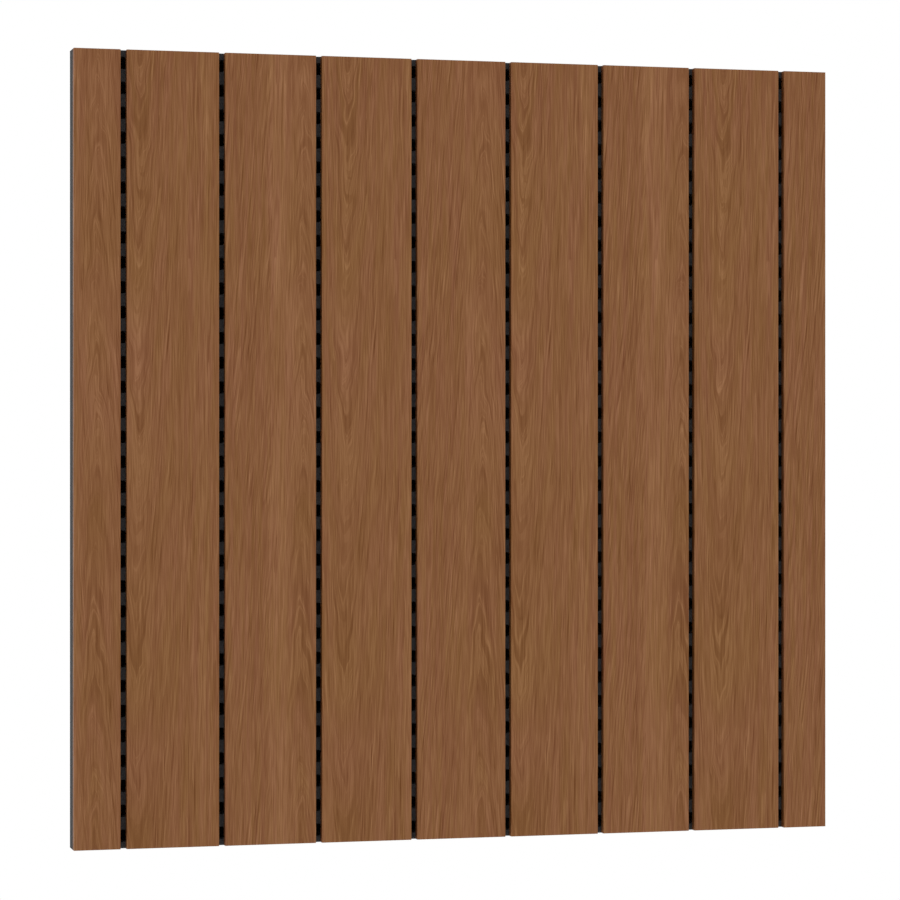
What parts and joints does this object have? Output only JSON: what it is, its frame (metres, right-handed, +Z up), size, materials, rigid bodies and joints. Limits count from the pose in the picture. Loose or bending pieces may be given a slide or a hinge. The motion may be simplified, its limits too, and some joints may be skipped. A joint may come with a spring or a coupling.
{
  "type": "acoustic slat wall panel",
  "caption": "Square wall panel of vertical wooden slats with narrow open grooves, on a dark perforated core board with a black sound-absorbing fleece on its back.",
  "frame": {"origin": "centre of the back face, the face that lies on the wall", "axes": "+Z up along the slats, +Y out of the back into the wall, +X to the right as seen from the room; the slats face -Y"},
  "size_m": [0.512, 0.0183, 0.512],
  "materials": {
    "slat_wood": "matt lacquered brown wood veneer, grain upright",
    "core": "raw through-dyed dark grey fibreboard",
    "fleece": "black non-woven acoustic fleece"
  },
  "bodies": {
    "root": {"core_board": "core", "acoustic_fleece": "fleece", "edge_slat_left": "slat_wood", "slat_1": "slat_wood", "slat_2": "slat_wood", "slat_3": "slat_wood", "slat_4": "slat_wood", "slat_5": "slat_wood", "slat_6": "slat_wood", "slat_7": "slat_wood", "edge_slat_right": "slat_wood"}
  },
  "joints": []
}
